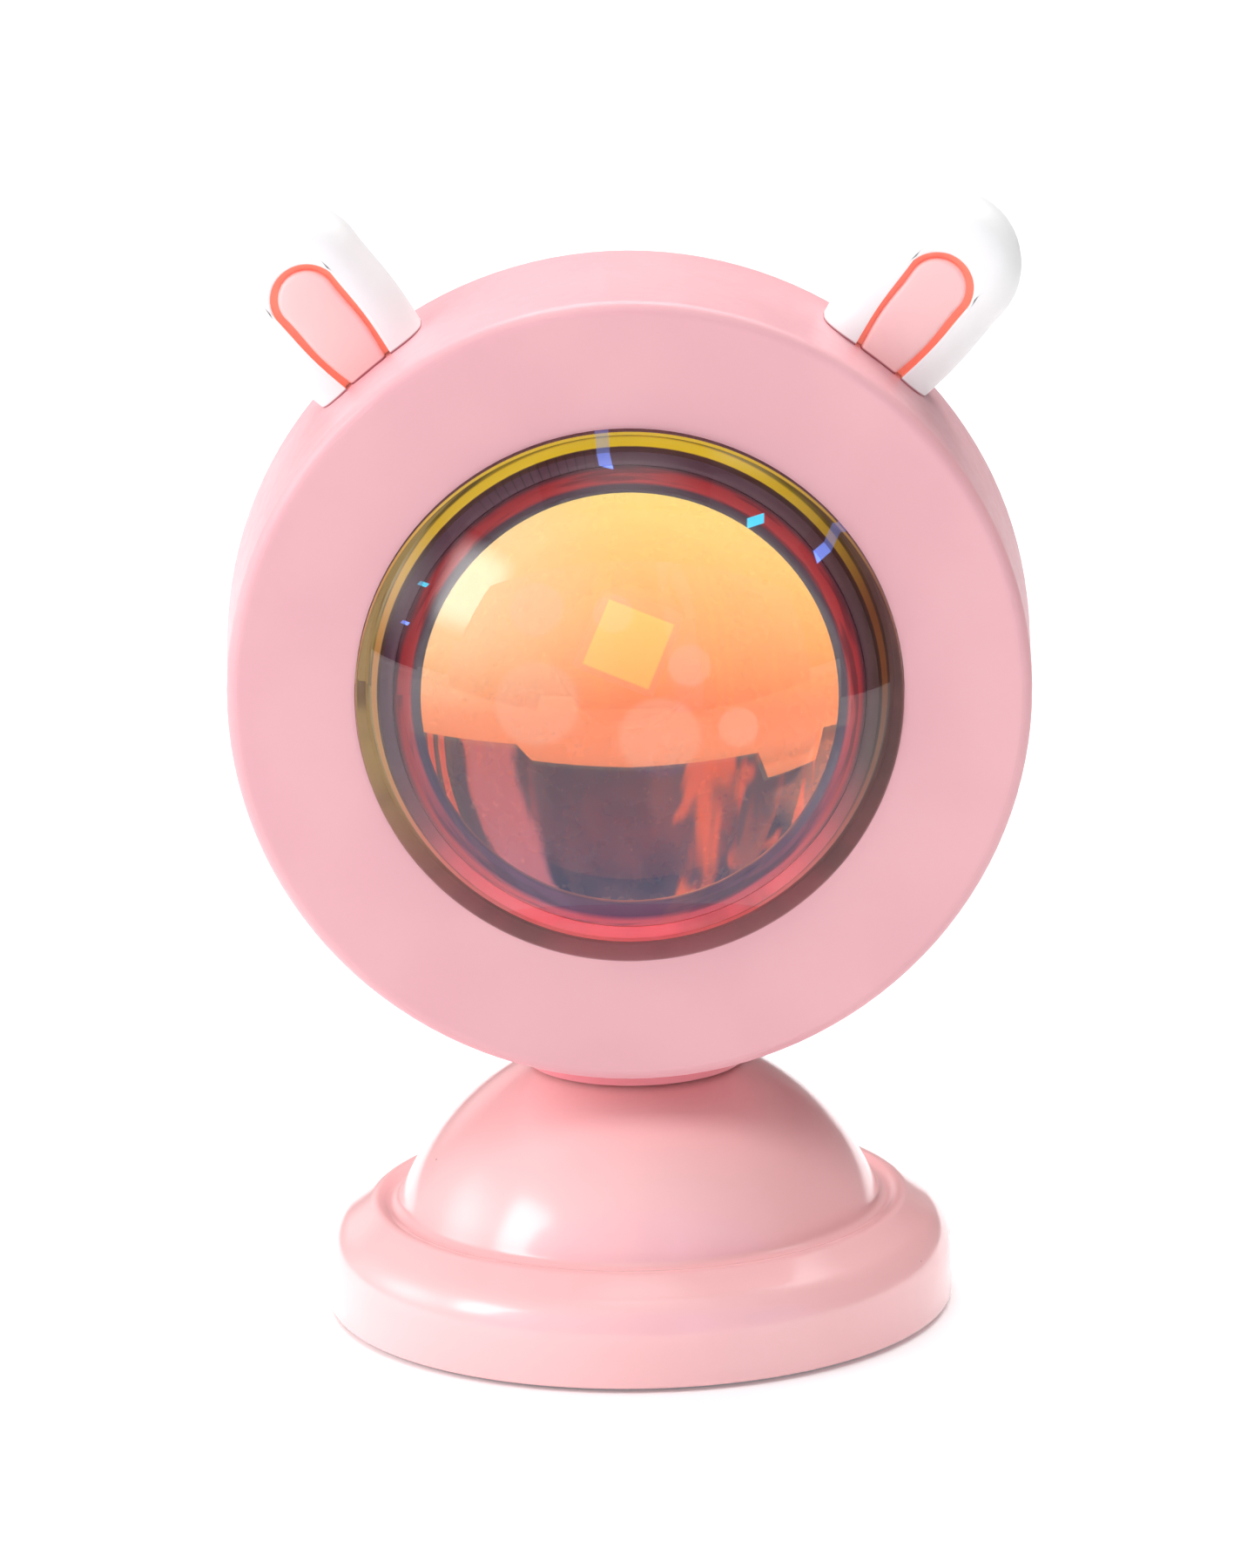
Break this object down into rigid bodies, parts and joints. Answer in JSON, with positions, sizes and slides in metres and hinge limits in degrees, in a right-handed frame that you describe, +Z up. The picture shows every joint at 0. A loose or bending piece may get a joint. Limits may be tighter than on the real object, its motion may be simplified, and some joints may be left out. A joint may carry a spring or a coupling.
{
  "type": "sunset projection lamp",
  "caption": "Drum-shaped lamp head with a domed lens and rabbit-like ears, held by a magnetic foot on the domed top of a round weighted base.",
  "frame": {"origin": "centre of the base's underside, on the surface that the lamp stands on", "axes": "+Z up, the lens faces -Y, +X to the right of someone who looks at the lens"},
  "size_m": [0.0808, 0.0655, 0.1161],
  "materials": {
    "base_enamel": "glossy pink enamel on pressed steel",
    "drum_pink": "satin moulded plastic",
    "foot_pink": "satin moulded plastic",
    "ear_white": "satin white moulded plastic",
    "ear_rose": "soft pink moulded pad",
    "lens_glass": "polished clear glass",
    "filter_glass": "orange coated glass",
    "ring_red": "satin red",
    "black_plastic": "matt moulded plastic",
    "white_plastic": "moulded plastic",
    "silver_plastic": "metallised reflector",
    "steel": "plated steel",
    "iron": "rough casting",
    "aluminium": "extruded and turned",
    "pad_foam": "soft blue-grey foam",
    "felt": "pressed felt",
    "gasket_rubber": "silicone",
    "circuit_board": "solder mask",
    "wire_red": "wire insulation",
    "cell_wrap": "shrink wrap",
    "light_source": "phosphor"
  },
  "bodies": {
    "base": {"base_pad": "pad_foam", "base_plate": "steel", "base_screws": "steel", "base_shell": "base_enamel"},
    "ballast": {"ballast": "iron"},
    "glide": {"glide_ring": "felt"},
    "head": {"foot_cup": "foot_pink", "foot_magnet": "steel", "magnet_cover": "black_plastic", "front_shell": "drum_pink", "rear_shell": "drum_pink", "case_screws": "steel", "lens": "lens_glass", "lens_gasket": "gasket_rubber", "lens_holder": "black_plastic", "holder_screws": "steel", "filter_ring": "ring_red", "colour_filter": "filter_glass", "reflector": "silver_plastic", "led_emitter": "light_source", "led_board": "aluminium", "heat_sink": "aluminium", "led_screws": "steel", "led_leads": "wire_red", "battery": "cell_wrap", "battery_tray": "black_plastic", "battery_leads": "wire_red", "battery_connector": "white_plastic", "main_board": "circuit_board", "board_screws": "steel", "driver_chips": "black_plastic", "tact_switch": "black_plastic", "charge_light": "white_plastic", "light_pipe": "white_plastic", "usb_socket": "steel", "ear_left": "ear_white", "ear_right": "ear_white", "ear_inner_left": "ear_rose", "ear_inner_right": "ear_rose", "ear_screws": "steel"},
    "button": {"power_button": "drum_pink"}
  },
  "joints": [
    {"name": "lean_direction", "type": "hinge", "parent": "base", "child": "ballast", "pos_m": [0, 0, 0.0018], "axis": [0, 0, 1], "continuous": true},
    {"name": "lean", "type": "hinge", "parent": "ballast", "child": "glide", "pos_m": [0, 0, 0.0018], "axis": [1, 0, 0], "range_deg": [-35, 35]},
    {"name": "spin", "type": "hinge", "parent": "glide", "child": "head", "pos_m": [0, 0, 0.0018], "axis": [0, 0, 1], "continuous": true},
    {"name": "button_press", "type": "slide", "parent": "head", "child": "button", "axis": [0, -1, 0], "range_m": [0, 0.0005], "stiffness_N_per_m": 1000}
  ]
}
